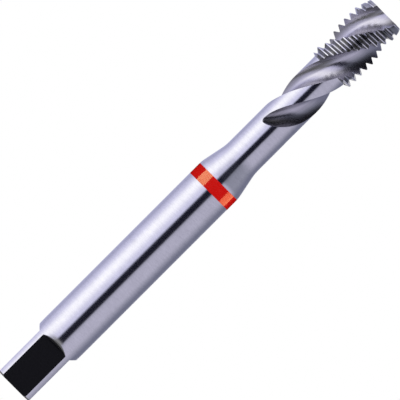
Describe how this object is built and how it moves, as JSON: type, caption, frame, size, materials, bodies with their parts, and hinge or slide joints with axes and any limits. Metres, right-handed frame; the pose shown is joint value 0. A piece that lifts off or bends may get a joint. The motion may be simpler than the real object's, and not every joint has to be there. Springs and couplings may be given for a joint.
{
  "type": "thread tap",
  "caption": "Machine tap with right-hand helical flutes, a slim neck, a round shank with a colour ring, and a drive square.",
  "frame": {"origin": "middle of the drive square's end face, on which the tap stands", "axes": "+Z along the tap's axis towards the cutting end, X and Y square to the flats of the drive square"},
  "size_m": [0.01, 0.01, 0.1],
  "materials": {
    "tool_steel": "high speed steel, ground bright, with black hardened drive flats",
    "ring_paint": "thin glossy red lacquer band"
  },
  "bodies": {
    "root": {"tap_body": "tool_steel", "colour_ring": "ring_paint"}
  },
  "joints": []
}
